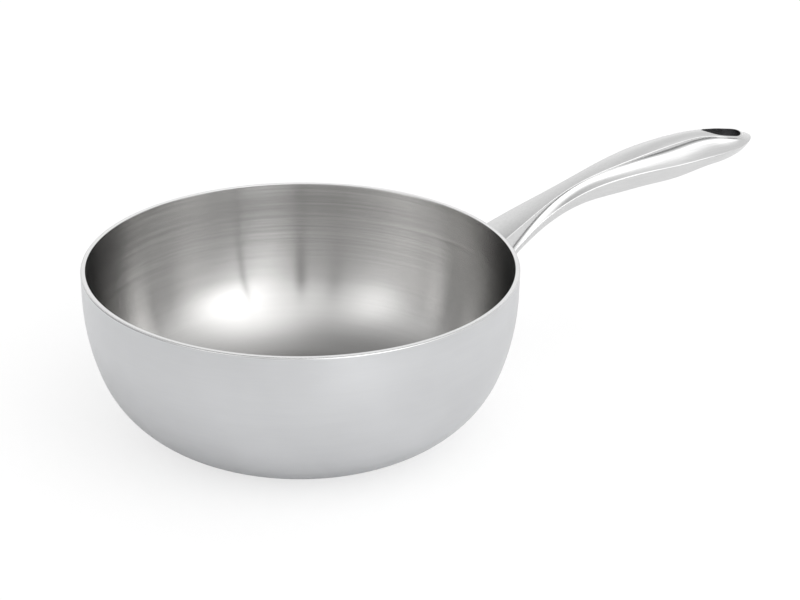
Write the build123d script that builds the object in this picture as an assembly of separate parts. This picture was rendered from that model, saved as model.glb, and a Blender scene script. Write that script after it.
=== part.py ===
from build123d import *
from math import cos, pi, radians, sin, tan
import os

# Saucier pan: a full clad stainless steel bowl with a cast handle welded to its wall.
# Millimetres. The origin is the middle of the base's underside, +Z is up, and the handle
# reaches out along +X.

# Bowl, as the outline of its outer face. Angles are the wall's lean from upright, in degrees.
rim_radius = 120.0
wall_straight = 14.1
wall_lean = 1.0
shoulder_radius = 128.0
shoulder_end_lean = 20.0
belly_radius = 62.5
belly_end_lean = 66.0
base_corner_radius = 35.0

# The wall's three bonded layers and its closed rim
outer_skin_thickness = 0.5
core_thickness = 1.6
cooking_skin_thickness = 0.5
rim_lip_thickness = 0.6
rim_bevel_height = 0.6

# Handle, measured along +X from the rim and up or down from the rim's level
handle_length = 180.5
foot_inset = 4.0
foot_crown_drop = 7.2
handle_rise = 40.6
handle_width = 33.4
flute_depth = 12.0
side_height = 9.8
land_camber = 2.0
side_bulge = 0.6
handle_wall = 2.2
underside_camber = 1.2

# Handle's rounded end and its hanging hole
rounded_end_length = 35.4
end_crown_drop = 6.3
end_ridge_rise = 2.6
end_underside_rise = 4.8
end_underside_inset = 3.9
end_droop_power = 1.25
hole_radius = 7.2
hole_length = 27.2
hole_ring_width = 1.4
hole_to_tip = 15.4
hole_edge_round = 0.4

# Stations of the handle from its foot to the start of its rounded end
station_shares = [0, 0.16, 0.295, 0.43, 0.565, 0.70, 0.835, 1]
crown_rise_shares = [0, 0.26, 0.461, 0.64, 0.784, 0.909, 0.986, 1]
land_width_shares = [0.808, 0.565, 0.359, 0.301, 0.388, 0.451, 0.416, 0.365]
land_camber_shares = [0.9, 0.5, 0.22, 0.17, 0.3, 0.8, 1.02, 0.95]
ridge_width_shares = [0.958, 0.718, 0.621, 0.66, 0.766, 0.88, 0.934, 1]
flute_depth_shares = [1.554, 0.795, 0.483, 0.418, 0.556, 0.808, 1.007, 0.871]
underside_width_shares = [0.856, 0.584, 0.473, 0.496, 0.587, 0.68, 0.713, 0.76]
side_height_shares = [0.143, 0.546, 0.672, 0.827, 0.995, 0.993, 0.929, 0.689]
# Stations along the rounded end, from its start to the hole's centre
end_station_shares = [0.34, 0.69, 1]

# Flute: a hollow that drops steeply from the land and runs out flat to the ridge
flute_start_shares = (0.08, 0.55)
flute_end_shares = (0.5, 0.06)
# Pull of the hole's outline at its nose and at its full width
nose_pull_shares = (0.25, 0.24)
nose_open_share = 0.66

end_ray_count = 9

weld_leg = 2.0
weld_slope_share = 0.75
weld_station_count = 4
cut_overrun = 20.0
touch_tolerance = 0.01

wall_thickness = outer_skin_thickness + core_thickness + cooking_skin_thickness
base_radius = (
    rim_radius
    - wall_straight * sin(radians(wall_lean))
    - shoulder_radius * (cos(radians(wall_lean)) - cos(radians(shoulder_end_lean)))
    - belly_radius * (cos(radians(shoulder_end_lean)) - cos(radians(belly_end_lean)))
    - base_corner_radius * cos(radians(belly_end_lean))
)
bowl_height = (
    wall_straight * cos(radians(wall_lean))
    + shoulder_radius * (sin(radians(shoulder_end_lean)) - sin(radians(wall_lean)))
    + belly_radius * (sin(radians(belly_end_lean)) - sin(radians(shoulder_end_lean)))
    + base_corner_radius * (1 - sin(radians(belly_end_lean)))
)
foot_x = rim_radius - foot_inset
tip_x = rim_radius + handle_length
hole_x = tip_x - hole_to_tip
end_x = tip_x - rounded_end_length


def outward(lean):
    """Unit vector out of the wall where the wall leans by this angle from upright."""
    return Vector(cos(radians(lean)), -sin(radians(lean)))


def bowl_outline(depth, top):
    """The bowl's outline, at a depth inside its outer face, from the axis up to a height."""
    corner_centre = Vector(base_radius, base_corner_radius)
    belly_centre = corner_centre + outward(belly_end_lean) * (base_corner_radius - belly_radius)
    shoulder_centre = belly_centre + outward(shoulder_end_lean) * (belly_radius - shoulder_radius)
    bends = [
        (corner_centre, base_corner_radius, 90, belly_end_lean),
        (belly_centre, belly_radius, belly_end_lean, shoulder_end_lean),
        (shoulder_centre, shoulder_radius, shoulder_end_lean, wall_lean),
    ]
    outline = [Line((0, depth), (base_radius, depth))]
    for centre, radius, start_lean, end_lean in bends:
        leans = (start_lean, (start_lean + end_lean) / 2, end_lean)
        outline.append(ThreePointArc(*[centre + outward(lean) * (radius - depth) for lean in leans]))
    outline.append(Line(outline[-1] @ 1, wall_point(depth, top)))
    return outline


def wall_point(depth, height):
    """A point of the straight band below the rim, at a depth inside the outer face."""
    lean = radians(wall_lean)
    return Vector(rim_radius - (bowl_height - height) * tan(lean) - depth / cos(lean), height)


def turned_layer(outer_depth, inner_depth, rim_points):
    """A layer of the bowl between two depths, closed at the rim through the given points."""
    outer = bowl_outline(outer_depth, rim_points[0].Y)
    inner = bowl_outline(inner_depth, rim_points[-1].Y)
    rim = [Line(start, end) for start, end in zip(rim_points, rim_points[1:])]
    axis = Line(inner[0] @ 0, outer[0] @ 0)
    return revolve(Plane.XZ * make_face(outer + rim + inner + [axis]), Axis.Z)


def make_outer_skin():
    """Outer sheet, bevelled at the rim down its whole thickness."""
    rim = [
        wall_point(0, bowl_height - rim_bevel_height),
        wall_point(outer_skin_thickness, bowl_height),
    ]
    return turned_layer(0, outer_skin_thickness, rim)


def make_aluminium_core():
    """Aluminium layer, which ends under the cooking skin's lip."""
    inner_depth = outer_skin_thickness + core_thickness
    top = bowl_height - rim_lip_thickness
    rim = [wall_point(outer_skin_thickness, top), wall_point(inner_depth, top)]
    return turned_layer(outer_skin_thickness, inner_depth, rim)


def make_cooking_skin():
    """Inner sheet, turned outward over the core's edge to meet the outer skin."""
    outer_depth = outer_skin_thickness + core_thickness
    top = bowl_height - rim_lip_thickness
    rim = [
        wall_point(outer_depth, top),
        wall_point(outer_skin_thickness, top),
        wall_point(outer_skin_thickness, bowl_height),
        wall_point(wall_thickness, bowl_height),
    ]
    return turned_layer(outer_depth, wall_thickness, rim)


def bowl_block(depth=0):
    """Everything inside the bowl's wall, from a depth in its outer face, as one block."""
    top = bowl_height + cut_overrun
    outline = bowl_outline(depth, top)
    lid = Line(outline[-1] @ 1, (0, top))
    axis = Line((0, top), (0, depth))
    return revolve(Plane.XZ * make_face(outline + [lid, axis]), Axis.Z)


def foot_stations():
    """Places and sizes of the handle's sections from its foot to its rounded end."""
    stations = []
    for index, share in enumerate(station_shares):
        crown = bowl_height - foot_crown_drop + handle_rise * crown_rise_shares[index]
        ridge = crown - flute_depth * flute_depth_shares[index]
        stations.append({
            "x": foot_x + (end_x - foot_x) * share,
            "crown": crown,
            "camber": land_camber * land_camber_shares[index],
            "land": handle_width / 2 * land_width_shares[index],
            "ridge": ridge,
            "half_width": handle_width / 2 * ridge_width_shares[index],
            "underside": ridge - side_height * side_height_shares[index],
            "half_underside": handle_width / 2 * underside_width_shares[index],
        })
    return stations


def end_heights(x):
    """Heights of the crown, the ridge and the underside along the rounded end."""
    start = foot_stations()[-1]
    droop = ((x - end_x) / rounded_end_length) ** end_droop_power
    return {
        "crown": start["crown"] - end_crown_drop * droop,
        "ridge": start["ridge"] + end_ridge_rise * droop,
        "underside": start["underside"] + end_underside_rise * droop,
    }


def oval_half_width(x, length, half_width):
    """Half the width of the oval that closes the rounded end."""
    return half_width * (1 - ((x - end_x) / length) ** 2) ** 0.5


def end_stations():
    """Sections from the start of the rounded end to the hole's centre."""
    start = foot_stations()[-1]
    ring = hole_radius + hole_ring_width
    underside_length = rounded_end_length - end_underside_inset
    stations = []
    for share in end_station_shares:
        x = end_x + (hole_x - end_x) * share
        swell = (1 - cos(pi * share)) / 2
        station = {
            "x": x,
            "camber": start["camber"],
            "land": start["land"] + (ring - start["land"]) * swell,
            "half_width": oval_half_width(x, rounded_end_length, start["half_width"]),
            "half_underside": oval_half_width(x, underside_length, start["half_underside"]),
        }
        station.update(end_heights(x))
        stations.append(station)
    return stations


def curve_through(start, end, height, place):
    """An arched edge over a span, through the heights that a formula gives."""
    middle = (start + end) / 2
    pull = 2 * height(middle) - (height(start) + height(end)) / 2
    return Bezier(place(start, height(start)), place(middle, pull), place(end, height(end)))


def flute_edge(land, land_height, ridge, ridge_height, place):
    """The hollow between the land's edge and the ridge."""
    width, drop = ridge - land, land_height - ridge_height
    return Bezier(
        place(land, land_height),
        place(land + width * flute_start_shares[0], land_height - drop * flute_start_shares[1]),
        place(ridge - width * flute_end_shares[0], ridge_height + drop * flute_end_shares[1]),
        place(ridge, ridge_height),
    )


def side_edge(ridge, ridge_height, underside, underside_height, place):
    """The slightly full flank between the ridge and the underside."""
    middle = (ridge + underside) / 2 + side_bulge
    return Bezier(
        place(ridge, ridge_height),
        place(middle, (ridge_height + underside_height) / 2),
        place(underside, underside_height),
    )


def cross_section(station):
    """The handle's whole section across its length."""
    land_height = station["crown"] - station["camber"]
    edges = []
    for side in (1, -1):
        def place(offset, height):
            return Vector(station["x"], side * offset, height)

        edges.append(flute_edge(station["land"], land_height, station["half_width"],
                                station["ridge"], place))
        edges.append(side_edge(station["half_width"], station["ridge"],
                               station["half_underside"], station["underside"], place))

    def across(offset, height):
        return Vector(station["x"], offset, height)

    def crown_height(offset):
        return station["crown"] - station["camber"] * (offset / station["land"]) ** 2

    def underside_height(offset):
        share = offset / station["half_underside"]
        return station["underside"] - underside_camber * (1 - share ** 2)

    edges.append(curve_through(-station["land"], station["land"], crown_height, across))
    edges.append(curve_through(-station["half_underside"], station["half_underside"],
                               underside_height, across))
    return Face(Wire(edges))


def oval_reach(length, half_width, angle):
    """Distance from the hole's centre to the rounded end's oval, in a direction."""
    offset = hole_x - end_x
    a = (cos(angle) / length) ** 2 + (sin(angle) / half_width) ** 2
    b = offset * cos(angle) / length ** 2
    c = (offset / length) ** 2 - 1
    return ((b * b - a * c) ** 0.5 - b) / a


def end_section(angle):
    """Half a section of the rounded end, standing on a ray from the hole's centre."""
    start = foot_stations()[-1]
    inner = hole_radius / 2
    land = hole_radius + hole_ring_width
    ridge = oval_reach(rounded_end_length, start["half_width"], angle)
    underside = oval_reach(rounded_end_length - end_underside_inset, start["half_underside"], angle)

    def place(reach, height):
        return Vector(hole_x + reach * cos(angle), reach * sin(angle), height)

    def heights(reach):
        return end_heights(hole_x + reach * cos(angle))

    def crown_height(reach):
        return heights(reach)["crown"] - start["camber"] * (reach * sin(angle) / land) ** 2

    def underside_height(reach):
        return heights(reach)["underside"] - underside_camber * (1 - (reach / underside) ** 2)

    ridge_height = heights(ridge)["ridge"]
    edges = [
        curve_through(inner, land, crown_height, place),
        flute_edge(land, crown_height(land), ridge, ridge_height, place),
        side_edge(ridge, ridge_height, underside, underside_height(underside), place),
        curve_through(inner, underside, underside_height, place),
        Line(place(inner, crown_height(inner)), place(inner, underside_height(inner))),
    ]
    return Face(Wire(edges))


def hanging_hole():
    """The drop-shaped hole: a nose towards the pan, opening into a round end."""
    nose_x = hole_x + hole_radius - hole_length
    nose_length = hole_x - nose_x
    nose_reach = nose_length * nose_pull_shares[0]
    edges = [ThreePointArc((hole_x, hole_radius), (hole_x + hole_radius, 0), (hole_x, -hole_radius))]
    for side in (1, -1):
        edges.append(Bezier(
            (nose_x, 0),
            (nose_x + nose_reach, side * hole_radius * nose_open_share),
            (hole_x - nose_length * (nose_pull_shares[0] + nose_pull_shares[1]), side * hole_radius),
            (hole_x, side * hole_radius),
        ))
    outline = Face(Wire(edges))
    start = Pos(0, 0, bowl_height - cut_overrun)
    return extrude(start * outline, 2 * cut_overrun + handle_rise, dir=(0, 0, 1))


def cavity_section(station):
    """The hollow's section: narrow under the land, widening to the underside."""
    top = station["crown"] - handle_wall
    bottom = station["underside"] + handle_wall
    half_top = station["land"] - handle_wall
    half_bottom = station["half_underside"] - handle_wall

    def across(offset, height):
        return Vector(station["x"], offset, height)

    def mirrored(offset, height):
        return Vector(station["x"], -offset, height)

    edges = [flute_edge(half_top, top - station["camber"], half_bottom, bottom, place)
             for place in (across, mirrored)]
    edges.append(curve_through(
        -half_top, half_top, lambda offset: top - station["camber"] * (offset / half_top) ** 2, across
    ))
    edges.append(Line(across(-half_bottom, bottom), across(half_bottom, bottom)))
    return Face(Wire(edges))


def make_cavity():
    """The hollow inside the handle, open at the foot, where the bowl's wall closes it."""
    return loft([cavity_section(station) for station in foot_stations()[:-1]])


def handle_block():
    """The handle's whole outer form, solid, its foot running on into the bowl."""
    body = loft([cross_section(station) for station in foot_stations() + end_stations()])
    angles = [pi * (step / (end_ray_count - 1) - 0.5) for step in range(end_ray_count)]
    return body + loft([end_section(angle) for angle in angles])


def make_handle():
    """Cast handle: spine, flutes, ridges and hole, its foot cut to sit on the bowl's wall."""
    hole = hanging_hole()
    pierced = handle_block() - hole
    mouths = [
        edge for edge in pierced.edges()
        if edge.geom_type != GeomType.LINE and all(on_hole_outline(edge @ at) for at in (0, 0.5, 1))
    ]
    return fillet(mouths, hole_edge_round) - make_cavity() - bowl_block()


def on_hole_outline(point):
    """Whether a point of the handle lies on the hanging hole's wall."""
    return hanging_hole().distance_to(Vertex(point.X, point.Y, point.Z)) < touch_tolerance


def make_handle_weld():
    """Bead of weld all round the handle's foot, on the bowl's wall."""
    sections = []
    for station in foot_stations()[:weld_station_count]:
        swollen = dict(station)
        for name in ("crown", "land", "half_width", "half_underside"):
            swollen[name] += weld_leg
        swollen["underside"] -= weld_leg
        sections.append(cross_section(swollen))
    collar = (loft(sections) & bowl_block(-weld_leg)) - bowl_block()
    half_way = bowl_block(-weld_leg / 2).solid()
    outer_edges = [
        edge for edge in collar.edges()
        if edge.geom_type != GeomType.CIRCLE
        and not any(half_way.is_inside(edge @ at) for at in (0, 0.5, 1))
    ]
    return chamfer(outer_edges, weld_leg * weld_slope_share) - handle_block()


def main():
    os.makedirs("parts", exist_ok=True)
    pieces = {
        "outer_skin": make_outer_skin(),
        "aluminium_core": make_aluminium_core(),
        "cooking_skin": make_cooking_skin(),
        "handle": make_handle(),
        "handle_weld": make_handle_weld(),
    }
    for name, piece in pieces.items():
        print(name, len(piece.solids()), "solid,", round(piece.volume), "mm3")
        export_step(piece, f"parts/{name}.step")


main()
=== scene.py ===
import bmesh
import bpy
import numpy as np
from mathutils import Matrix, Vector


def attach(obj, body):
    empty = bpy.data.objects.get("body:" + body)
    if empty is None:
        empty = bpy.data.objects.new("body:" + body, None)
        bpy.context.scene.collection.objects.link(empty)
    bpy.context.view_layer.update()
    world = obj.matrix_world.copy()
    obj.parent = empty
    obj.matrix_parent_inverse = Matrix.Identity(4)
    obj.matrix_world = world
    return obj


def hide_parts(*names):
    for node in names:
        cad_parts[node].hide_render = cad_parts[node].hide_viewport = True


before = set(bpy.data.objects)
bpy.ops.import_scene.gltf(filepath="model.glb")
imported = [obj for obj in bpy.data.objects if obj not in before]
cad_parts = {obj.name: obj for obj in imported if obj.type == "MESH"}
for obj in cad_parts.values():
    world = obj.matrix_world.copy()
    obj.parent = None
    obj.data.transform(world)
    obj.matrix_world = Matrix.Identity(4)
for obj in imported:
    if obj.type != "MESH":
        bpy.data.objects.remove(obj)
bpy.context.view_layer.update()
print("frame loaded:", ", ".join(sorted(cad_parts)))


mergeDistance = 1e-7  # metres, under which two points are one


def newPiece(name, points, faces, node, **attributes):
    # A mesh piece that stands for a CAD node, with named values at its points. Doubled points
    # on seams and poles are merged, which also drops the faces that have no area there, and
    # the faces are turned outwards.
    mesh = bpy.data.meshes.new(name)
    mesh.from_pydata(points.reshape(-1, 3).tolist(), [], faces.tolist())
    for label, values in attributes.items():
        layer = mesh.attributes.new(label, "FLOAT", "POINT")
        layer.data.foreach_set("value", values.astype(np.float32).ravel())
    work = bmesh.new()
    work.from_mesh(mesh)
    bmesh.ops.remove_doubles(work, verts=work.verts, dist=mergeDistance)
    bmesh.ops.recalc_face_normals(work, faces=work.faces)
    if work.calc_volume(signed=True) < 0:
        bmesh.ops.reverse_faces(work, faces=work.faces)
    openEdges = sum(1 for edge in work.edges if len(edge.link_faces) != 2)
    work.to_mesh(mesh)
    work.free()
    mesh.polygons.foreach_set("use_smooth", np.ones(len(mesh.polygons), bool))
    piece = bpy.data.objects.new(name, mesh)
    bpy.context.scene.collection.objects.link(piece)
    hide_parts(node)
    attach(piece, "root")
    print(name, "has", len(mesh.polygons), "faces and", openEdges, "open edges")
    return piece


def gridFaces(rows, columns, first=0, closed=False):
    # Four-sided faces between the neighbouring rows and columns of a grid of points
    row, column = np.meshgrid(np.arange(rows - 1), np.arange(columns - (not closed)), indexing="ij")
    beside = (column + 1) % columns
    corners = [row * columns + column, row * columns + beside,
               (row + 1) * columns + beside, (row + 1) * columns + column]
    return first + np.stack(corners, -1).reshape(-1, 4)


def quadratic(start, pull, end, t):
    # (1 - t) squared times the start, 2 t (1 - t) times the pull and t squared times the end:
    # a curve that leaves its start towards the pull and comes to its end from there
    return (1 - t) ** 2 * start + 2 * t * (1 - t) * pull + t ** 2 * end


bowl = {  # metres, and degrees of lean from upright
    "rimRadius": 0.120,
    "wallStraight": 0.0141,
    "wallLean": 1.0,
    "shoulderRadius": 0.128,
    "shoulderLean": 20.0,
    "bellyRadius": 0.0625,
    "bellyLean": 66.0,
    "cornerRadius": 0.035,
    "outerSkin": 0.0005,
    "core": 0.0016,
    "cookingSkin": 0.0005,
    "rimLip": 0.0006,
    "rimBevel": 0.0006,
    "rimEdgeRound": 0.00022,
    "footRoom": 2,  # rounds under the bevel's foot at which the outer wall's rows stop
    "mouthRoom": 3,  # rounds under the rim's mouth at which the inner wall's rows stop
    "turns": 288,
    "roundSteps": 5,
    "outlineSteps": {"base": 16, "corner": 17, "belly": 41, "shoulder": 29, "wall": 9, "land": 8},
}


def outward(lean):
    # Unit vector out of the wall, as radius and height, where the wall leans by this angle
    angle = np.radians(lean)
    return np.stack([np.cos(angle), -np.sin(angle)], -1)


wallLean = np.radians(bowl["wallLean"])
bendLeans = [90.0, bowl["bellyLean"], bowl["shoulderLean"], bowl["wallLean"]]
bendRadii = [bowl["cornerRadius"], bowl["bellyRadius"], bowl["shoulderRadius"]]
cosines = np.cos(np.radians(bendLeans))
sines = np.sin(np.radians(bendLeans))
baseRadius = (bowl["rimRadius"] - bowl["wallStraight"] * np.sin(wallLean)
              - float(np.dot(bendRadii, np.diff(cosines))))
bowlHeight = bowl["wallStraight"] * np.cos(wallLean) - float(np.dot(bendRadii, np.diff(sines)))
cornerCentre = np.array([baseRadius, bowl["cornerRadius"]])
bellyCentre = (cornerCentre
               + outward(bowl["bellyLean"]) * (bowl["cornerRadius"] - bowl["bellyRadius"]))
shoulderCentre = (bellyCentre
                  + outward(bowl["shoulderLean"]) * (bowl["bellyRadius"] - bowl["shoulderRadius"]))
bendCentres = [cornerCentre, bellyCentre, shoulderCentre]


def wallRadius(depth, height):
    # Radius of the straight band below the rim, at a depth inside the outer face
    return bowl["rimRadius"] - (bowlHeight - height) * np.tan(wallLean) - depth / np.cos(wallLean)


def wallPoint(depth, height):
    # That radius and the height, as one point of an outline
    return np.array([wallRadius(depth, height), height])


def bowlOutline(depth, top):
    # The bowl's outline at a depth inside its outer face, from the axis to a height:
    # a flat base, three tangent arcs that the depth shrinks about their centres, and the wall
    counts = bowl["outlineSteps"]
    radii = np.linspace(0, baseRadius, counts["base"])
    outline = [np.stack([radii, depth + 0 * radii], -1)]
    for index, name in enumerate(("corner", "belly", "shoulder")):
        leans = np.linspace(bendLeans[index], bendLeans[index + 1], counts[name])[1:]
        outline.append(bendCentres[index] + outward(leans) * (bendRadii[index] - depth))
    heights = np.linspace(outline[-1][-1, 1], top, counts["wall"])[1:]
    outline.append(np.stack([wallRadius(depth, heights), heights], -1))
    return np.concatenate(outline)


def outerRadius(height):
    # Radius of the bowl's outer face at a height on its shoulder or its straight band
    shoulder = shoulderCentre[0] + np.sqrt(bowl["shoulderRadius"] ** 2
                                           - (shoulderCentre[1] - height) ** 2)
    bandStart = bowlHeight - bowl["wallStraight"] * np.cos(wallLean)
    return np.where(height > bandStart, wallRadius(0, height), shoulder)


def turn(name, outline, node):
    # A closed outline turned about the axis, with the outline's length so far kept at each point
    along = np.concatenate([[0], np.cumsum(np.hypot(*np.diff(outline, axis=0).T))])
    angles = np.linspace(0, 2 * np.pi, bowl["turns"], endpoint=False)
    radius, height = outline[:, :1], outline[:, 1:]
    points = np.stack([radius * np.cos(angles), radius * np.sin(angles),
                       height + 0 * angles], -1)
    faces = gridFaces(len(outline), len(angles), closed=True)
    lengths = np.repeat(along[:, None], len(angles), 1)
    return newPiece(name, points, faces, node, along=lengths)


def rimCorner(before, corner, after, size):
    # The softened corner between two rim points, cut back by a size along both sides
    toBefore = (before - corner) / np.linalg.norm(before - corner)
    toAfter = (after - corner) / np.linalg.norm(after - corner)
    t = np.linspace(0, 1, bowl["roundSteps"] + 2)[:, None]
    return quadratic(corner + toBefore * size, corner, corner + toAfter * size, t)


def outerSkinOutline():
    # The outer face up to the bevel, whose foot is softened, and the inner face back to the axis
    bevelFoot = wallPoint(0, bowlHeight - bowl["rimBevel"])
    bevelTop = wallPoint(bowl["outerSkin"], bowlHeight)
    outer = bowlOutline(0, bevelFoot[1] - bowl["footRoom"] * bowl["rimEdgeRound"])
    inner = bowlOutline(bowl["outerSkin"], bowlHeight)
    foot = rimCorner(outer[-1], bevelFoot, bevelTop, bowl["rimEdgeRound"])
    return np.concatenate([outer, foot, inner[::-1]])


def cookingSkinOutline():
    # The outer face, the lip turned out over the core's edge, the rim's flat land, its softened
    # mouth and the inner face back to the axis
    outerDepth = bowl["outerSkin"] + bowl["core"]
    innerDepth = outerDepth + bowl["cookingSkin"]
    lipHeight = bowlHeight - bowl["rimLip"]
    size = bowl["rimEdgeRound"]
    outer = bowlOutline(outerDepth, lipHeight)
    inner = bowlOutline(innerDepth, bowlHeight - bowl["mouthRoom"] * size)
    lipFoot = wallPoint(bowl["outerSkin"], lipHeight)
    lipTop = wallPoint(bowl["outerSkin"], bowlHeight)
    mouth = wallPoint(innerDepth, bowlHeight)
    land = np.linspace(lipTop, mouth, bowl["outlineSteps"]["land"])[1:-1]
    mouthRound = rimCorner(land[-1], mouth, inner[-1], size)
    return np.concatenate([outer, [lipFoot], [lipTop], land, mouthRound, inner[::-1]])


outerSkin = turn("pan_outside", outerSkinOutline(), "outer_skin")
cookingSkin = turn("pan_inside", cookingSkinOutline(), "cooking_skin")

handle = {  # metres, with X from the bowl's axis, and shares
    "footX": 0.116,
    "endX": 0.2651,
    "holeX": 0.2851,
    "footCrownDrop": 0.0072,
    "rise": 0.0406,
    "width": 0.0334,
    "fluteDepth": 0.012,
    "sideHeight": 0.0098,
    "landCamber": 0.002,
    "sideBulge": 0.0006,
    "undersideCamber": 0.0012,
    "endLength": 0.0354,
    "endCrownDrop": 0.0063,
    "endRidgeRise": 0.0026,
    "endUndersideRise": 0.0048,
    "endUndersideInset": 0.0039,
    "endDroopPower": 1.25,
    "holeRadius": 0.0072,
    "holeLength": 0.0272,
    "holeRing": 0.0014,
    "landEdgeRound": 0.0004,
    "ridgeRound": 0.0007,
    "undersideRound": 0.0008,
    "holeRound": 0.0004,
    "stations": [0, 0.16, 0.295, 0.43, 0.565, 0.70, 0.835, 1],
    "crownRise": [0, 0.26, 0.461, 0.64, 0.784, 0.909, 0.986, 1],
    "landWidth": [0.808, 0.565, 0.359, 0.301, 0.388, 0.451, 0.416, 0.365],
    "camber": [0.9, 0.5, 0.22, 0.17, 0.3, 0.8, 1.02, 0.95],
    "ridgeWidth": [0.958, 0.718, 0.621, 0.66, 0.766, 0.88, 0.934, 1],
    "flute": [1.554, 0.795, 0.483, 0.418, 0.556, 0.808, 1.007, 0.871],
    "undersideWidth": [0.856, 0.584, 0.473, 0.496, 0.587, 0.68, 0.713, 0.76],
    "side": [0.143, 0.546, 0.672, 0.827, 0.995, 0.993, 0.929, 0.689],
    "endStations": [0.34, 0.69, 1],
    "fluteStart": (0.05, 0.60),
    "fluteEnd": (0.45, 0.20),
    "nosePull": (0.25, 0.24),
    "noseOpen": 0.66,
    "noseTaper": 0.0015,  # half width of the hole under which its mouths get sharper
    "roundShare": 0.25,  # most of an edge's length that a softened corner takes
    "trimEnd": 0.150,  # where the rows that follow the foot's cut have turned straight
    "trimCrowding": 1.15,
    "capShares": (0, 0.5),  # rings that close the foot, as shares of its outline
    "footReach": 0.004,  # how far past the rim the foot's cut is looked for
    "halvings": 24,
    "rows": {"trim": 40, "spine": 109, "nose": 44, "ray": 60},
    "steps": {"land": 14, "flute": 22, "side": 10, "underside": 12, "corner": 5, "holeWall": 8},
}
ringRadius = handle["holeRadius"] + handle["holeRing"]


def splineThrough(knots, values, endSlopes, x):
    # Cubic curves through the knots, free at the first one and with given slopes at the last:
    # their second derivatives solve one banded system, and each span blends its two ends
    count = len(knots)
    span = np.diff(knots)
    slope = np.diff(values, axis=0) / span[:, None]
    system = np.zeros((count, count))
    right = np.zeros(values.shape)
    system[0, 0] = 1
    inner = np.arange(1, count - 1)
    system[inner, inner - 1] = span[:-1]
    system[inner, inner] = 2 * (span[:-1] + span[1:])
    system[inner, inner + 1] = span[1:]
    right[inner] = 6 * (slope[1:] - slope[:-1])
    system[-1, -2:] = span[-1], 2 * span[-1]
    right[-1] = 6 * (endSlopes - slope[-1])
    bend = np.linalg.solve(system, right)
    place = np.clip(np.searchsorted(knots, x, side="right") - 1, 0, count - 2)
    width = span[place]
    b = (x - knots[place]) / width
    a = 1 - b
    width, a, b = width[..., None], a[..., None], b[..., None]
    return (a * values[place] + b * values[place + 1]
            + ((a ** 3 - a) * bend[place] + (b ** 3 - b) * bend[place + 1]) * width ** 2 / 6)


def footValues():
    # Crown, camber, land, ridge, half width, underside and half underside at the stations
    rise, flute, side = (np.array(handle[name]) for name in ("crownRise", "flute", "side"))
    halfWidth = handle["width"] / 2
    crown = bowlHeight - handle["footCrownDrop"] + handle["rise"] * rise
    ridge = crown - handle["fluteDepth"] * flute
    return np.stack([
        crown,
        handle["landCamber"] * np.array(handle["camber"]),
        halfWidth * np.array(handle["landWidth"]),
        ridge,
        halfWidth * np.array(handle["ridgeWidth"]),
        ridge - handle["sideHeight"] * side,
        halfWidth * np.array(handle["undersideWidth"]),
    ], -1)


endStart = footValues()[-1]


def droop(x):
    # How far along the rounded end, as a share, to the power of its droop
    share = np.clip((x - handle["endX"]) / handle["endLength"], 0, 1)
    return share ** handle["endDroopPower"]


def endCrown(x):
    # The crown sinks with the droop
    return endStart[0] - handle["endCrownDrop"] * droop(x)


def endRidge(x):
    # The ridge rises with the droop
    return endStart[3] + handle["endRidgeRise"] * droop(x)


def endUnderside(x):
    # The underside rises with the droop
    return endStart[5] + handle["endUndersideRise"] * droop(x)


def ovalHalfWidth(x, length, width):
    # An oval's half width: its most, times the root of 1 less the squared share of its length
    return width * np.sqrt(1 - ((x - handle["endX"]) / length) ** 2)


def endValues(x):
    # The same values on the rounded end: the crown droops, the outlines follow two ovals
    # and the land swells to the ring round the hole
    undersideLength = handle["endLength"] - handle["endUndersideInset"]
    share = np.clip((x - handle["endX"]) / (handle["holeX"] - handle["endX"]), 0, 1)
    swell = (1 - np.cos(np.pi * share)) / 2
    return np.stack([
        endCrown(x),
        endStart[1] + 0 * x,
        endStart[2] + (ringRadius - endStart[2]) * swell,
        endRidge(x),
        ovalHalfWidth(x, handle["endLength"], endStart[4]),
        endUnderside(x),
        ovalHalfWidth(x, undersideLength, endStart[6]),
    ], -1)


footX = handle["footX"] + (handle["endX"] - handle["footX"]) * np.array(handle["stations"])
endX = handle["endX"] + (handle["holeX"] - handle["endX"]) * np.array(handle["endStations"])
knotX = np.concatenate([footX, endX])
knotValues = np.concatenate([footValues(), endValues(endX)])
slopeStep = 1e-5  # metres back from the hole's centre, for the slopes there
holeValues, valuesBefore = endValues(handle["holeX"] - np.array([0, slopeStep]))
lastSlopes = (holeValues - valuesBefore) / slopeStep


def ovalReach(length, width, angle):
    # Distance from the hole's centre to the rounded end's oval, in a direction
    offset = handle["holeX"] - handle["endX"]
    a = (np.cos(angle) / length) ** 2 + (np.sin(angle) / width) ** 2
    b = offset * np.cos(angle) / length ** 2
    c = (offset / length) ** 2 - 1
    return (np.sqrt(b * b - a * c) - b) / a


def crowdedShares(count):
    # Shares from 0 to 1 that crowd towards both ends: half of 1 less the cosine of even turns
    return (1 - np.cos(np.linspace(0, np.pi, count))) / 2


def bezier(controls, t):
    # A cubic curve from its four controls, each an array of (offset, height)
    t = t[..., None]
    start, pullStart, pullEnd, end = controls
    return ((1 - t) ** 3 * start + 3 * t * (1 - t) ** 2 * pullStart
            + 3 * t ** 2 * (1 - t) * pullEnd + t ** 3 * end)


def raised(start, middle, end):
    # The cubic controls of a quadratic curve
    return start, start + 2 / 3 * (middle - start), end + 2 / 3 * (middle - end), end


def arched(start, end, height):
    # A quadratic edge through the heights that a formula gives at its ends and its middle
    middle = (start + end) / 2
    pull = 2 * height(middle) - (height(start) + height(end)) / 2
    return raised(pair(start, height(start)), pair(middle, pull), pair(end, height(end)))


def pair(offset, height):
    # Offsets and heights as points of a section
    return np.stack(np.broadcast_arrays(offset, height), -1)


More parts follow.
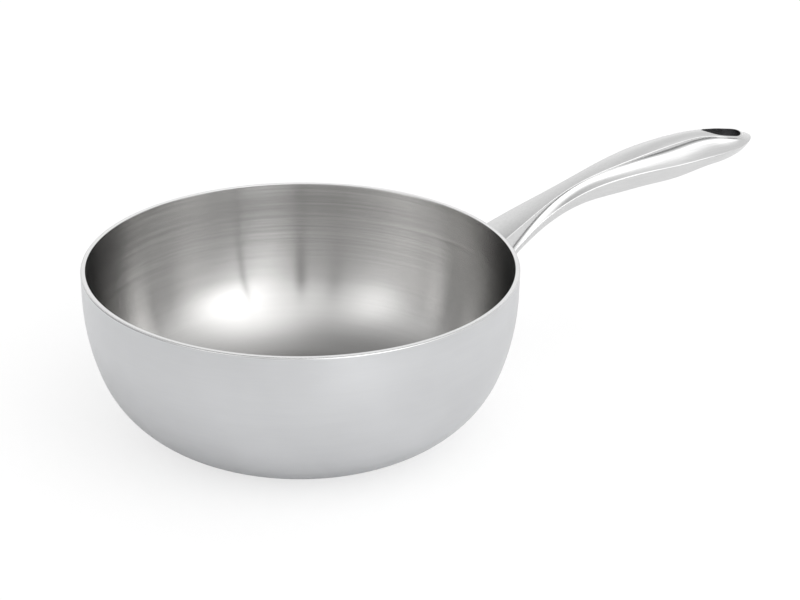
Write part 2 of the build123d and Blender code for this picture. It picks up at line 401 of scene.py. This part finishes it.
def halfSection(inner, land, ridge, under, topHeight, ridgeHeight, bottomHeight):
    # Half a section from the inner end of its land out and round to the inner end of its
    # underside: land, flute, side and underside, with a small curve between each two
    landHeight = topHeight(land)
    underHeight = bottomHeight(under)
    width, drop = ridge - land, landHeight - ridgeHeight
    edges = [
        arched(inner, land, topHeight),
        (pair(land, landHeight),
         pair(land + width * handle["fluteStart"][0], landHeight - drop * handle["fluteStart"][1]),
         pair(ridge - width * handle["fluteEnd"][0], ridgeHeight + drop * handle["fluteEnd"][1]),
         pair(ridge, ridgeHeight)),
        raised(pair(ridge, ridgeHeight),
               pair((ridge + under) / 2 + handle["sideBulge"], (ridgeHeight + underHeight) / 2),
               pair(under, underHeight)),
        arched(under, inner, bottomHeight),
    ]
    names = ["land", "flute", "side", "underside"]
    rounds = [handle["landEdgeRound"], handle["ridgeRound"], handle["undersideRound"]]
    starts, ends = [0 * inner], []
    for before, after, size in zip(edges, edges[1:], rounds):
        shortest = np.minimum(np.linalg.norm(before[3] - before[0], axis=-1),
                              np.linalg.norm(after[3] - after[0], axis=-1))
        cut = np.minimum(size, handle["roundShare"] * shortest)
        ends.append(1 - cut / (3 * np.linalg.norm(before[3] - before[2], axis=-1)))
        starts.append(cut / (3 * np.linalg.norm(after[1] - after[0], axis=-1)))
    ends.append(1 + 0 * inner)
    points = []
    for index, (name, controls) in enumerate(zip(names, edges)):
        shares = crowdedShares(handle["steps"][name])
        t = starts[index][..., None] + (ends[index] - starts[index])[..., None] * shares
        edge = bezier([control[..., None, :] for control in controls], t)
        if index:
            corner = controls[0][..., None, :]
            t = np.linspace(0, 1, handle["steps"]["corner"] + 2)[1:-1, None]
            points.append(quadratic(points[-1][..., -1:, :], corner, edge[..., :1, :], t))
        points.append(edge)
    return np.concatenate(points, -2)


def straightSection(x, inner=0.0):
    # Half sections across the handle at any places along it
    values = splineThrough(knotX, knotValues, lastSlopes, x)
    crown, camber, land, ridge, half, underside, halfUnder = np.moveaxis(values, -1, 0)

    def topHeight(offset):
        # The land falls from the crown with the squared share of its half width
        return crown - camber * (offset / land) ** 2

    def bottomHeight(offset):
        # The underside is lowest on the middle line and rises by its camber to its edges
        return underside - handle["undersideCamber"] * (1 - (offset / halfUnder) ** 2)

    return halfSection(inner + 0 * x, land, half, halfUnder, topHeight, ridge, bottomHeight), (
        topHeight, bottomHeight)


def raySection(angle, inner):
    # Half sections of the rounded end, each on a ray from the hole's centre
    undersideLength = handle["endLength"] - handle["endUndersideInset"]
    ridge = ovalReach(handle["endLength"], endStart[4], angle)
    under = ovalReach(undersideLength, endStart[6], angle)

    def along(reach):
        # The place along the handle of a point at this reach on the ray
        return handle["holeX"] + reach * np.cos(angle)

    def topHeight(reach):
        # The drooped crown, less the camber with the squared share of the ring's radius
        return endCrown(along(reach)) - endStart[1] * (reach * np.sin(angle) / ringRadius) ** 2

    def bottomHeight(reach):
        # The risen underside, lowest at the hole's centre
        return endUnderside(along(reach)) - handle["undersideCamber"] * (1 - (reach / under) ** 2)

    section = halfSection(inner + 0 * angle, ringRadius + 0 * angle, ridge, under, topHeight,
                          endRidge(along(ridge)), bottomHeight)
    return section, (topHeight, bottomHeight)


def across(section, x):
    # Straight sections put in place: the offset is Y and the height Z
    return np.stack([x[..., None] + 0 * section[..., 0], section[..., 0], section[..., 1]], -1)


def onRay(section, angle):
    # Ray sections put in place: the offset runs out from the hole's centre at the angle
    angle = angle[..., None]
    return np.stack([handle["holeX"] + section[..., 0] * np.cos(angle),
                     section[..., 0] * np.sin(angle), section[..., 1]], -1)


def ownPlaces(x):
    # One section point for each column, each at its own place along the handle
    section, _ = straightSection(x)
    column = np.arange(x.shape[-1])
    picked = section[..., column, column, :]
    return np.stack([x, picked[..., 0], picked[..., 1]], -1)


def footPlaces(columns):
    # Where each column of the handle meets the bowl's outer face, found by halving
    low = np.full(columns, handle["footX"])
    high = np.full(columns, bowl["rimRadius"] + handle["footReach"])
    for _ in range(handle["halvings"]):
        middle = (low + high) / 2
        point = ownPlaces(middle)
        outside = np.hypot(point[:, 0], point[:, 1]) > outerRadius(point[:, 2])
        low, high = np.where(outside, low, middle), np.where(outside, middle, high)
    return high


def holeWall(sectionStart, sectionEnd, inner, heights, size, place):
    # The hole's wall from its top mouth to its bottom mouth, with both mouths softened
    topHeight, bottomHeight = heights
    top, bottom = topHeight(inner), bottomHeight(inner)
    topCorner, bottomCorner = pair(inner, top), pair(inner, bottom)
    shareDown = np.linspace(0, 1, handle["steps"]["holeWall"])[:, None]
    t = np.linspace(0, 1, handle["steps"]["corner"] + 2)[1:, None]
    upperEnd, lowerStart = pair(inner, top - size), pair(inner, bottom + size)
    start, end = sectionStart[:, None], sectionEnd[:, None]
    upper = quadratic(start, topCorner[:, None], upperEnd[:, None], t)
    middle = upperEnd[:, None] + (lowerStart - upperEnd)[:, None] * shareDown
    lower = quadratic(lowerStart[:, None], bottomCorner[:, None], end, t)
    return place(np.concatenate([start, upper, middle[:, 1:], lower], 1))


sectionPoints = straightSection(np.array([handle["endX"]]))[0].shape[1]
meetX = footPlaces(sectionPoints)  # where the foot is cut, at each point of a section


def spineRows():
    # Rings that close the foot, rows that turn from its cut to straight ones, and straight rows
    rows = handle["rows"]
    share = np.linspace(0, 1, rows["trim"] + 1)[:-1, None] ** handle["trimCrowding"]
    foot = ownPlaces(meetX + (handle["trimEnd"] - meetX) * share)
    centre = foot[0].mean(0) * [1, 0, 1]
    cap = centre + (foot[0] - centre) * np.array(handle["capShares"])[:, None, None]
    x = np.linspace(handle["trimEnd"], handle["endX"], rows["spine"] + 1)[:-1]
    return np.concatenate([cap, foot, across(straightSection(x)[0], x)])


def noseRows():
    # Straight rows beside the hole's nose, a cubic curve from its point to the hole's full
    # width, and the rows of the wall inside it
    noseX = handle["holeX"] + handle["holeRadius"] - handle["holeLength"]
    length = handle["holeX"] - noseX
    controls = [np.array(point) for point in (
        (noseX, 0),
        (noseX + length * handle["nosePull"][0], handle["holeRadius"] * handle["noseOpen"]),
        (handle["holeX"] - length * sum(handle["nosePull"]), handle["holeRadius"]),
        (handle["holeX"], handle["holeRadius"]),
    )]
    x, opening = bezier(controls, np.linspace(0, 1, handle["rows"]["nose"])).T
    size = handle["holeRound"] * np.clip(opening / handle["noseTaper"], 0, 1)
    section, heights = straightSection(x, opening + size)
    wall = holeWall(section[:, 0], section[:, -1], opening, heights, size,
                    lambda points: across(points, x))
    return across(section, x), wall


def rayRows():
    # The same round the hole's round end, where the rows stand on rays from its centre
    angles = np.linspace(np.pi / 2, 0, handle["rows"]["ray"] + 1)[1:]
    size = np.full(angles.shape, handle["holeRound"])
    radius = np.full(angles.shape, handle["holeRadius"])
    section, heights = raySection(angles, radius + size)
    wall = holeWall(section[:, 0], section[:, -1], radius, heights, size,
                    lambda points: onRay(points, angles))
    return onRay(section, angles), wall


def makeHandle():
    # One half of the skin and of the hole's wall, ended on the upright plane, and its mirror image
    (besideNose, noseWall), (roundEnd, endWall) = noseRows(), rayRows()
    skin = np.concatenate([spineRows(), besideNose, roundEnd])
    wall = np.concatenate([noseWall, endWall])
    skin[-1, :, 1] = 0
    wall[-1, :, 1] = 0
    half = np.concatenate([skin.reshape(-1, 3), wall.reshape(-1, 3)])
    halfFaces = np.concatenate([gridFaces(*skin.shape[:2]),
                                gridFaces(*wall.shape[:2], first=skin.size // 3)])
    points = np.concatenate([half, half * [1, -1, 1]])
    faces = np.concatenate([halfFaces, halfFaces[:, ::-1] + len(half)])
    wallMask = np.ones(wall.shape[:2])
    wallMask[:, [0, -1]] = 0  # points shared with the skin
    inHole = np.concatenate([np.zeros(skin.size // 3), wallMask.ravel()])
    return newPiece("handle_casting", points, faces, "handle", hole=np.tile(inHole, 2))


castHandle = makeHandle()

weld = {  # metres
    "leg": 0.002,
    "sag": 0.25,  # share of the way to the corner by which the face's middle is pulled in
    "rippleHeight": 0.00006,
    "rippleLength": 0.0013,
    "rippleLag": 2.2,  # radians by which a ripple trails from one toe to the other
    "runSpan": 3,  # points to each side that give the loop's direction
    "loopPoints": 420,
    "faceSteps": 12,
}


def evenLoop(loop, count):
    # A closed line of points spread again at equal lengths along it
    closed = np.concatenate([loop, loop[:1]])
    along = np.concatenate([[0], np.cumsum(np.linalg.norm(np.diff(closed, axis=0), axis=-1))])
    spread = np.linspace(0, along[-1], count, endpoint=False)
    return np.stack([np.interp(spread, along, values) for values in closed.T], -1)


def weldBead():
    # A fillet all round the handle's foot: one toe lies on the bowl at a leg's length from the
    # handle's outline, the other on the handle at a leg's length from the wall, and a sagging
    # curve with the faint ripples of a weld joins them
    def wholeLoop(row):
        # Half a section's points and back along their mirror image, less its two shared ends
        return np.concatenate([row, row[-2:0:-1] * [1, -1, 1]])

    loop = evenLoop(np.concatenate([wholeLoop(ownPlaces(meetX)),
                                    wholeLoop(ownPlaces(meetX + weld["leg"]))], -1),
                    weld["loopPoints"])
    corner, handleToe = loop[:, :3], loop[:, 3:]
    run = np.roll(corner, -weld["runSpan"], 0) - np.roll(corner, weld["runSpan"], 0)
    away = np.stack([run[:, 2], -run[:, 1]], -1)
    away /= np.linalg.norm(away, axis=-1, keepdims=True)
    inside = np.sum(away * (corner[:, 1:] - corner[:, 1:].mean(0))) < 0
    toe = corner[:, 1:] + away * (-1 if inside else 1) * weld["leg"]
    bowlToe = np.column_stack([np.sqrt(outerRadius(toe[:, 1]) ** 2 - toe[:, 0] ** 2), toe])
    middle = (bowlToe + handleToe) / 2
    pull = middle + (corner - middle) * weld["sag"]
    t = np.linspace(0, 1, weld["faceSteps"])[:, None, None]
    face = quadratic(bowlToe, pull, handleToe, t)
    outside = middle - corner
    outside /= np.linalg.norm(outside, axis=-1, keepdims=True)
    loopLength = np.linalg.norm(corner - np.roll(corner, -1, 0), axis=-1).sum()
    ripples = round(loopLength / weld["rippleLength"])
    turned = ripples * np.linspace(0, 2 * np.pi, len(corner), endpoint=False)
    wave = np.sin(turned + weld["rippleLag"] * t[..., 0])
    face = face + outside * (np.sin(np.pi * t[..., 0]) * wave)[..., None] * weld["rippleHeight"]
    ring = np.concatenate([face, corner[None], face[:1]])
    return newPiece("weld_bead", ring, gridFaces(*ring.shape[:2], closed=True), "handle_weld")


handleBead = weldBead()


class Wire:
    # An output of a node. A formula on wires and numbers adds its Math nodes.
    def __init__(self, finish, socket):
        self.finish = finish
        self.socket = socket

    def math(self, operation, *values):
        # A Math node on wires and numbers, in the order of its sockets
        return self.finish.node("ShaderNodeMath", {"operation": operation}, dict(enumerate(values)))

    def __add__(self, other):
        return self.math("ADD", self, other)

    def __sub__(self, other):
        return self.math("SUBTRACT", self, other)

    def __rsub__(self, other):
        return self.math("SUBTRACT", other, self)

    def __mul__(self, other):
        return self.math("MULTIPLY", self, other)

    def __truediv__(self, other):
        return self.math("DIVIDE", self, other)

    def __rtruediv__(self, other):
        return self.math("DIVIDE", other, self)

    __radd__ = __add__
    __rmul__ = __mul__


class Finish:
    # A node tree under construction, of a material or of the world
    def __init__(self, owner):
        owner.use_nodes = True
        self.owner = owner
        self.tree = owner.node_tree
        self.tree.nodes.clear()

    def node(self, kind, settings=None, sockets=None, output=0):
        # A node of a type: first its settings, then the values or links of its sockets
        made = self.tree.nodes.new(kind)
        for name, value in (settings or {}).items():
            setattr(made, name, value)
        for name, value in (sockets or {}).items():
            if isinstance(value, Wire):
                self.tree.links.new(value.socket, made.inputs[name])
            else:
                made.inputs[name].default_value = value
        return Wire(self, made.outputs[output]) if made.outputs else None


def mixColours(finish, share, first, second):
    # A share of 0 gives the first colour and 1 the second, on the node's colour sockets
    return finish.node("ShaderNodeMix", {"data_type": "RGBA"},
                       {0: share, 6: first, 7: second}, output=2)


def ringCoordinates(finish, turnsPerRound, linesPerMetre):
    # Coordinates that hardly change round the bowl and change fast along its outline
    place = finish.node("ShaderNodeTexCoord", output="Object")
    flat = finish.node("ShaderNodeVectorMath", {"operation": "MULTIPLY"}, {0: place, 1: (1, 1, 0)})
    unit = finish.node("ShaderNodeVectorMath", {"operation": "NORMALIZE"}, {0: flat})
    spread = finish.node("ShaderNodeVectorMath", {"operation": "SCALE"},
                         {0: unit, "Scale": turnsPerRound})
    along = finish.node("ShaderNodeAttribute", {"attribute_name": "along"}, output="Fac")
    up = finish.node("ShaderNodeCombineXYZ", {}, {"Z": along * linesPerMetre})
    return finish.node("ShaderNodeVectorMath", {"operation": "ADD"}, {0: spread, 1: up})


def lengthCoordinates(finish, alongHandle, acrossHandle):
    # Coordinates that change slowly along the handle and fast across it
    place = finish.node("ShaderNodeTexCoord", output="Object")
    return finish.node("ShaderNodeVectorMath", {"operation": "MULTIPLY"},
                       {0: place, 1: (alongHandle, acrossHandle, acrossHandle)})


def noise(finish, coordinates):
    # Soft noise from 0 to 1, about as fine as the coordinates change
    return finish.node("ShaderNodeTexNoise", {"noise_dimensions": "3D"},
                       {"Vector": coordinates, "Scale": 1.0, "Detail": 2.0}, output="Fac")


def ramp(finish, value, start, end):
    # A smooth step from 0 at the start to 1 at the end
    return finish.node("ShaderNodeMapRange", {"interpolation_type": "SMOOTHSTEP"},
                       {"Value": value, "From Min": start, "From Max": end}, output="Result")


def placeHeight(finish):
    # Height over the floor: the place's part along Z
    place = finish.node("ShaderNodeTexCoord", output="Object")
    return finish.node("ShaderNodeVectorMath", {"operation": "DOT_PRODUCT"},
                       {0: place, 1: (0, 0, 1)}, output="Value")


toneSpread = 0.2  # share of the colour by which the lightest and the darkest tone differ from it


def shade(colour, factor):
    # The colour times a factor, with a full alpha
    return (*[part * factor for part in colour], 1)


def satinSteel(name, look, coordinates, special=None):
    # Metal whose tone follows fine lines, wider bands and soft clouds, each as noise stretched
    # along the brushing. Where a look says so, the lines fade, and painted shade darkens the
    # colour towards the base. A special place, where its mask is 1, has its own colour and gloss.
    finish = Finish(bpy.data.materials.new(name))
    lines = noise(finish, coordinates(finish, look["lineRun"], look["lines"]))
    bands = noise(finish, coordinates(finish, look["bandRun"], look["bands"]))
    clouds = noise(finish, coordinates(finish, look["cloudRun"], look["clouds"]))
    lineTone = look["lineTone"] * (lines - 0.5)
    if "linesFrom" in look:
        lineTone = lineTone * (look["lineFloor"] + (1 - look["lineFloor"]) * ramp(
            finish, placeHeight(finish), *look["linesFrom"]))
    tone = 0.5 + lineTone + look["bandTone"] * (bands - 0.5) + look["cloudTone"] * (clouds - 0.5)
    colour = mixColours(finish, tone, shade(look["colour"], 1 - toneSpread),
                        shade(look["colour"], 1 + toneSpread))
    roughness = look["roughness"] + look["roughSpread"] * (bands + clouds - 1)
    # Painted shade: the colour darkens towards the base, over the pan's floor
    if "paintedShadeTo" in look:
        low = 1 - ramp(finish, placeHeight(finish), *look["paintedShadeTo"])
        colour = mixColours(finish, low, colour, shade(look["colour"], look["paintedFloorShade"]))
    bump = finish.node("ShaderNodeBump", {}, {
        "Height": lines, "Strength": 1.0, "Distance": look["lineDepth"]})
    shader = finish.node("ShaderNodeBsdfPrincipled", {}, {
        "Base Color": colour, "Metallic": 1.0, "Roughness": roughness, "Normal": bump,
        "Anisotropic": look["anisotropic"], "Anisotropic Rotation": look["turned"],
        "Specular Tint": (*[look["edge"]] * 3, 1)})
    if special:
        other = finish.node("ShaderNodeBsdfPrincipled", {}, {
            "Base Color": (*special["colour"], 1), "Metallic": 1.0,
            "Roughness": special["roughness"]})
        mask = special["mask"](finish)
        shader = finish.node("ShaderNodeMixShader", {}, {0: mask, 1: shader, 2: other})
    finish.node("ShaderNodeOutputMaterial", {}, {"Surface": shader})
    return finish.owner


def rimMask(finish):
    # 1 on the rim's land and bevel, which fades out just below them
    start, end = (bowlHeight - depth for depth in polishedRim["fade"])
    return ramp(finish, placeHeight(finish), start, end)


def holeMask(finish):
    # 1 on the wall of the hanging hole, where shade is painted, from the piece's own attribute
    return finish.node("ShaderNodeAttribute", {"attribute_name": "hole"}, output="Fac")


polishedRim = {
    "colour": (0.75, 0.75, 0.75), "roughness": 0.14, "mask": rimMask,
    "fade": (0.0009, 0.0004),  # metres under the rim between which the polish comes in
}
# Each noise has how fast it changes along the brushing and across it, and its part in the tone.
# Depths and heights are in metres, and edge is the tint at a grazing view.
outsideLook = {
    "colour": (0.64, 0.646, 0.657), "roughness": 0.34, "roughSpread": 0.03,
    "anisotropic": 0.6, "turned": 0.25, "edge": 1.0,
    "lineRun": 9.0, "lines": 2200.0, "lineDepth": 0.0000006, "lineTone": 0.10,
    "bandRun": 2.5, "bands": 260.0, "bandTone": 0.10,
    "cloudRun": 2.5, "clouds": 24.0, "cloudTone": 0.4,
}
insideLook = {
    "colour": (0.625, 0.62, 0.612), "roughness": 0.22, "roughSpread": 0.03,
    "anisotropic": 1.0, "turned": 0.25, "edge": 0.15,
    "lineRun": 1.0, "lines": 1300.0, "lineDepth": 0.0000008, "lineTone": 1.2,
    # paintedShadeTo gives the heights over which the painted shade on the pan's floor fades out,
    # and paintedFloorShade the share of the colour left under it
    "linesFrom": (0.040, 0.066), "lineFloor": 0.2, "paintedShadeTo": (0.003, 0.024), "paintedFloorShade": 0.60,
    "bandRun": 2.0, "bands": 300.0, "bandTone": 0.16,
    "cloudRun": 2.0, "clouds": 30.0, "cloudTone": 0.12,
}
handleLook = {
    "colour": (0.68, 0.68, 0.68), "roughness": 0.19, "roughSpread": 0.03,
    "anisotropic": 0.0, "turned": 0.0, "edge": 1.0,
    "lineRun": 50.0, "lines": 1500.0, "lineDepth": 0.0000005, "lineTone": 0.45,
    "bandRun": 20.0, "bands": 300.0, "bandTone": 0.08,
    "cloudRun": 30.0, "clouds": 60.0, "cloudTone": 0.06,
}
# The hole's wall is a rougher metal painted nearly black: painted shade inside the hole
paintedShadeHole = {"colour": (0.11, 0.11, 0.115), "roughness": 0.45, "mask": holeMask}
outerSkin.data.materials.append(
    satinSteel("satin_outside", outsideLook, ringCoordinates, polishedRim))
cookingSkin.data.materials.append(
    satinSteel("brushed_inside", insideLook, ringCoordinates, polishedRim))
castHandle.data.materials.append(
    satinSteel("satin_handle", handleLook, lengthCoordinates, paintedShadeHole))
plainSteel = satinSteel("plain_steel", handleLook, lengthCoordinates)
handleBead.data.materials.append(plainSteel)
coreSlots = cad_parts["aluminium_core"].data.materials
coreSlots.clear()
coreSlots.append(plainSteel)
print("finishes made:", ", ".join(sorted(material.name for material in bpy.data.materials)))

studio = {
    "floorRadius": 6.0,
    "floorGap": 0.0002,  # how far under the base the floor lies
    "floorRings": 12,
    "floorTurns": 96,
    "floorColour": 0.86,
    "floorWhitened": 0.10,  # how much brighter the floor shows in metal
    "floorGlow": 1.13,
    "floorGlowShare": 0.62,  # how much of the floor that the camera sees is glow
    "horizonLevel": 0.78,
    "zenithLevel": 0.86,
    # Soft panels and dark gaps round the pan: azimuth, elevation, half width and half height
    # in degrees, and how much each adds to the light
    "panels": [
        (-69, 33, 31, 15, 1.9),
        (-168, 29, 20, 27, 0.93),
        (-120, 39, 20, 11, 0.3),
        (139, 72, 67, 18, -0.3),
        (172, 5, 62, 17, -1.3),
        (-93, 1, 15, 16, 3.2),
        (-50, 60, 35, 18, 0.35),
        (-78, 23, 43, 8.5, -0.3),
        (121, 44, 18, 29, -0.4),
        (99, 32, 14, 16, 0.2),
        (-58, 3, 17, 12, -0.7),
        (68, 14, 50, 22, 0.3),
        (-70, 68, 60, 17, 0.8),
    ],
    # Narrow dark uprights: azimuth, half width, top in degrees, and how much light they take
    "uprights": [
        (-81, 1.2, 34, 0.9),
        (-116, 3.0, 30, 1.0),
        (-137, 5.0, 34, 0.4),
    ],
    "uprightFade": 4,  # degrees over which an upright ends at its top
    "uprightSoftness": 0.5,
}


def layFloor():
    # A plain round floor just under the base: matt, a little brighter in metal, and partly a
    # glow where the camera sees it
    angles = np.linspace(0, 2 * np.pi, studio["floorTurns"], endpoint=False)
    radii = studio["floorRadius"] * np.linspace(0, 1, studio["floorRings"])[:, None] ** 2
    points = np.stack([radii * np.cos(angles), radii * np.sin(angles),
                       0 * radii * angles - studio["floorGap"]], -1)
    mesh = bpy.data.meshes.new("floor")
    mesh.from_pydata(points.reshape(-1, 3).tolist(), [],
                     gridFaces(*points.shape[:2], closed=True).tolist())
    work = bmesh.new()
    work.from_mesh(mesh)
    bmesh.ops.remove_doubles(work, verts=work.verts, dist=mergeDistance)
    work.to_mesh(mesh)
    work.free()
    floor = bpy.data.objects.new("floor", mesh)
    bpy.context.scene.collection.objects.link(floor)
    finish = Finish(bpy.data.materials.new("floor_white"))
    seen = finish.node("ShaderNodeLightPath", output="Is Camera Ray")
    glossy = finish.node("ShaderNodeLightPath", output="Is Glossy Ray")
    through = finish.node("ShaderNodeLightPath", output="Is Transmission Ray")
    grey = studio["floorColour"] * (1 + studio["floorWhitened"] * (glossy + through))
    matt = finish.node("ShaderNodeBsdfDiffuse", {}, {"Color": grey})
    glow = finish.node("ShaderNodeEmission", {}, {
        "Color": (1, 1, 1, 1), "Strength": studio["floorGlow"]})
    share = seen * studio["floorGlowShare"]
    both = finish.node("ShaderNodeMixShader", {}, {0: share, 1: matt, 2: glow})
    finish.node("ShaderNodeOutputMaterial", {}, {"Surface": both})
    mesh.materials.append(finish.owner)


layFloor()


def skyLevel(air):
    # The light from each direction: an even gradient with height, and round each panel's
    # middle a soft hill or hollow, e to the minus squared distance in half widths
    direction = air.node("ShaderNodeTexCoord", output="Generated")
    flat = air.node("ShaderNodeVectorMath", {"operation": "MULTIPLY"}, {0: direction, 1: (1, 1, 0)})
    flat = air.node("ShaderNodeVectorMath", {"operation": "NORMALIZE"}, {0: flat})
    sine = air.node("ShaderNodeVectorMath", {"operation": "DOT_PRODUCT"},
                    {0: direction, 1: (0, 0, 1)}, output="Value")
    elevation = sine.math("ARCSINE", sine)

    def turnFrom(azimuth):
        # Angle on the compass between the direction and an azimuth
        angle = np.radians(azimuth)
        cosine = air.node("ShaderNodeVectorMath", {"operation": "DOT_PRODUCT"},
                          {0: flat, 1: (np.cos(angle), np.sin(angle), 0)}, output="Value")
        return cosine.math("ARCCOSINE", cosine)

    def hill(squaredDistance):
        # 1 in the middle, and e to the minus squared distance round it
        return squaredDistance.math("EXPONENT", squaredDistance * -1)

    level = studio["horizonLevel"] + (studio["zenithLevel"] - studio["horizonLevel"]) * sine
    for azimuth, height, halfWidth, halfHeight, added in studio["panels"]:
        sideways = turnFrom(azimuth) / np.radians(halfWidth)
        up = (elevation - np.radians(height)) / np.radians(halfHeight)
        level = level + added * hill(sideways * sideways + up * up)
    level = level.math("MAXIMUM", level, 0)
    for azimuth, halfWidth, top, taken in studio["uprights"]:
        sideways = turnFrom(azimuth) / np.radians(halfWidth)
        above = (elevation - np.radians(top)) / np.radians(studio["uprightFade"])
        above = elevation.math("SMOOTH_MAX", above, 0, studio["uprightSoftness"])
        level = level * (1 - taken * hill(sideways * sideways + above * above))
    return level


def lightStudio():
    # The camera sees white, and everything else sees the sky's levels
    world = bpy.data.worlds.new("studio")
    bpy.context.scene.world = world
    air = Finish(world)
    seen = air.node("ShaderNodeLightPath", output="Is Camera Ray")
    strength = air.node("ShaderNodeMix", {"data_type": "FLOAT"},
                        {0: seen, 2: skyLevel(air), 3: 1.0})
    background = air.node("ShaderNodeBackground", {}, {"Color": (1, 1, 1, 1), "Strength": strength})
    air.node("ShaderNodeOutputWorld", {}, {"Surface": background})


lightStudio()

camera = {  # metres and directions, degrees of roll, and millimetres of lens and sensor
    "place": (-0.49341, -1.00235, 0.58047),
    "forward": (0.44126, 0.79606, -0.41421),
    "right": (0.87462, -0.48481, 0.0),
    "roll": 0.833,
    "lens": 100.0,
    "sensorWidth": 36.0,
}


def placeCamera():
    # Looks along its forward direction with its right side level, and is then rolled a little
    forward = Vector(camera["forward"]).normalized()
    right = Vector(camera["right"]).normalized()
    up = right.cross(forward)
    turned = Matrix((right, up, -forward)).transposed()
    turned = turned @ Matrix.Rotation(np.radians(camera["roll"]), 3, "Z")
    data = bpy.data.cameras.new("camera")
    data.lens = camera["lens"]
    data.sensor_width = camera["sensorWidth"]
    view = bpy.data.objects.new("camera", data)
    view.matrix_world = Matrix.Translation(camera["place"]) @ turned.to_4x4()
    bpy.context.scene.collection.objects.link(view)
    bpy.context.scene.camera = view


placeCamera()
bpy.context.scene.view_settings.view_transform = "Standard"
print("floor, light and camera set")
